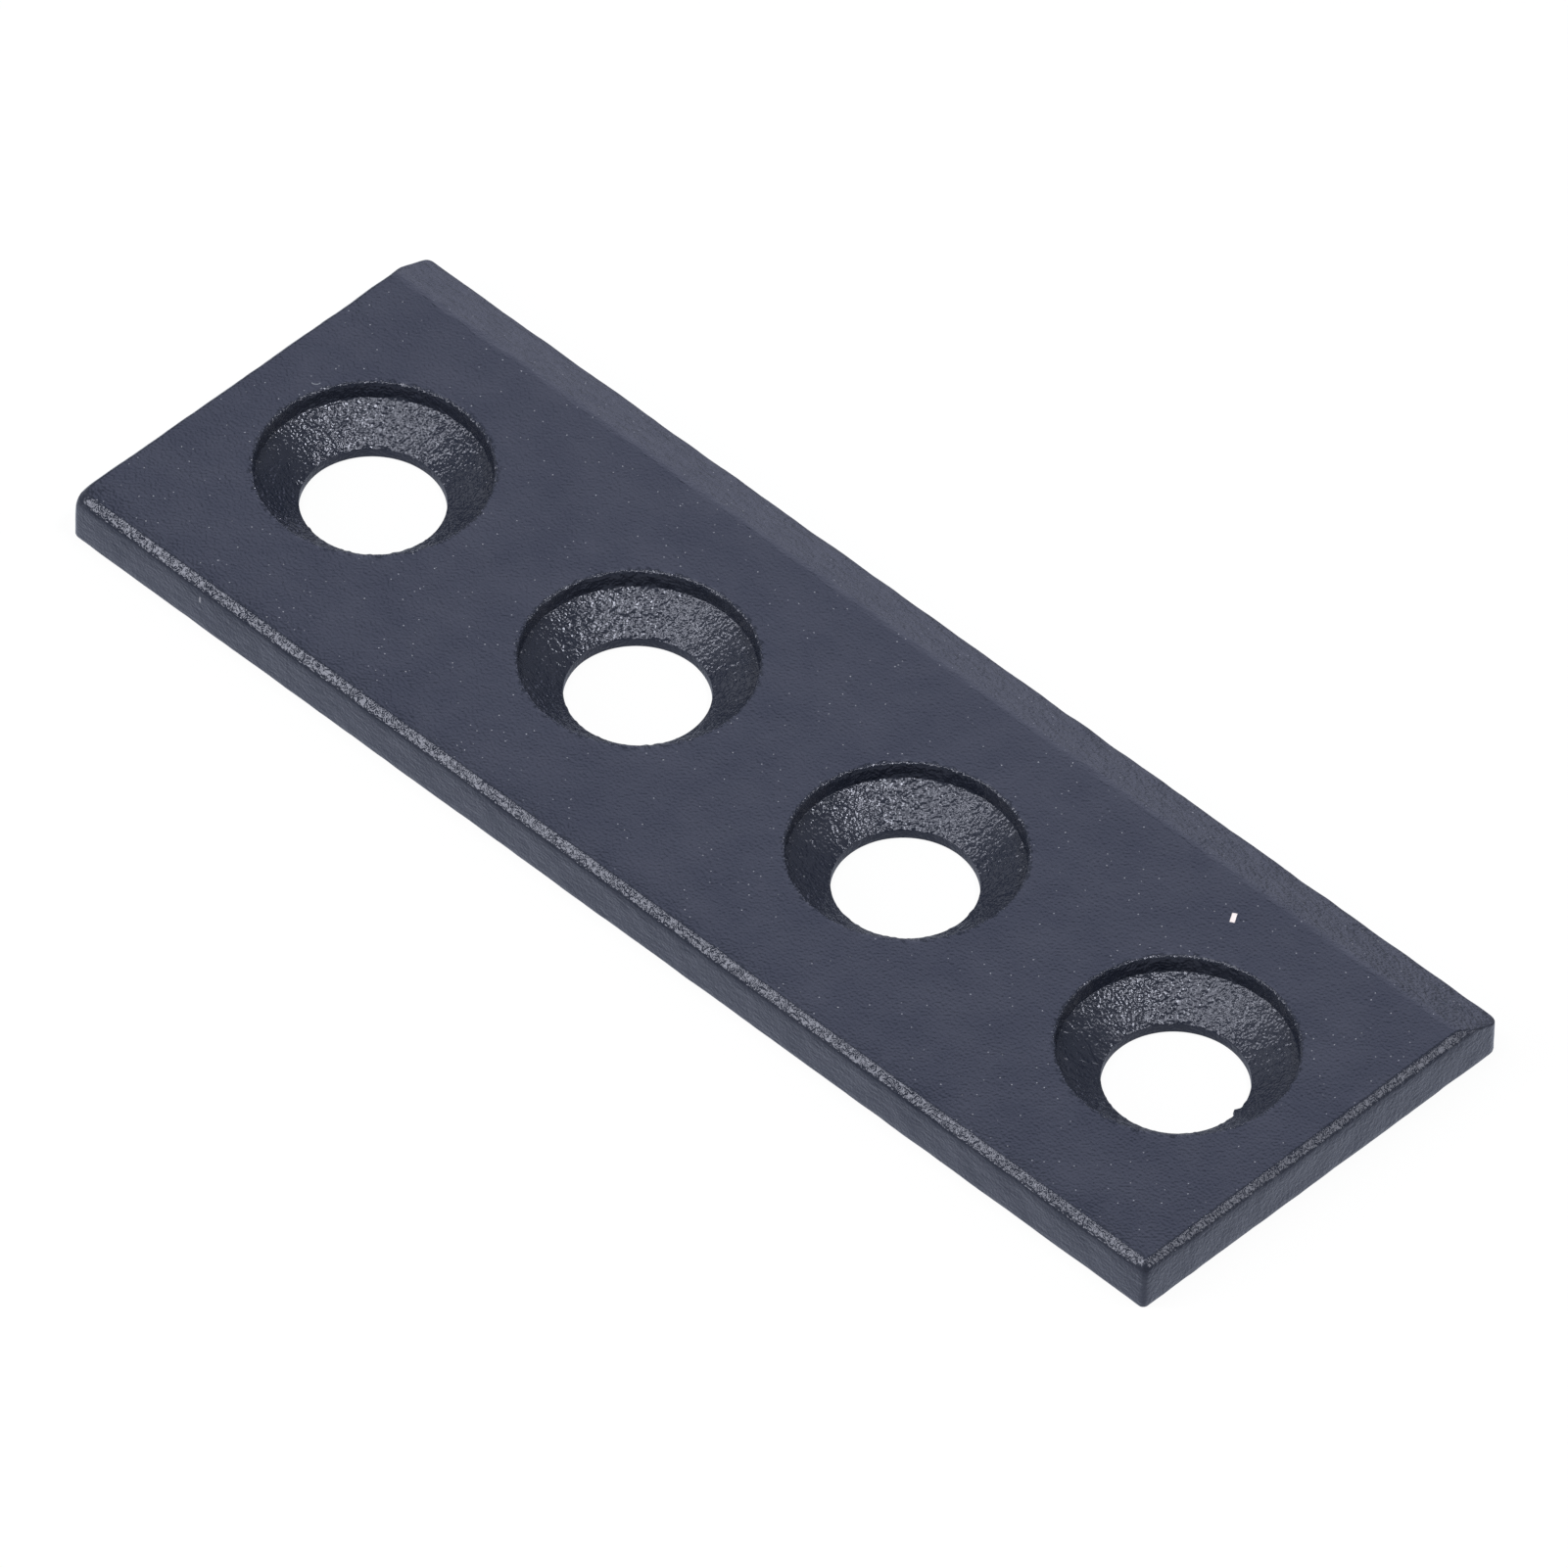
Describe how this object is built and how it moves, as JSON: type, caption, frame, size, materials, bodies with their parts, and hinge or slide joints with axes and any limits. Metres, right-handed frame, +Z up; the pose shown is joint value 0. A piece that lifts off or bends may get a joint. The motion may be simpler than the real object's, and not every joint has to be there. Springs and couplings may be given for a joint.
{
  "type": "track connector plate",
  "caption": "Flat coated metal bar with a row of recessed screw holes and one sloped long edge, for joining the ends of two tracks.",
  "frame": {"origin": "centre of the plate's underside", "axes": "+X along the row of holes, +Y towards the sloped long edge, +Z up out of the screw seats"},
  "size_m": [0.1, 0.034, 0.004],
  "materials": {
    "dark_coating": "satin fine-textured coating"
  },
  "bodies": {
    "root": {"connector_plate": "dark_coating"}
  },
  "joints": []
}
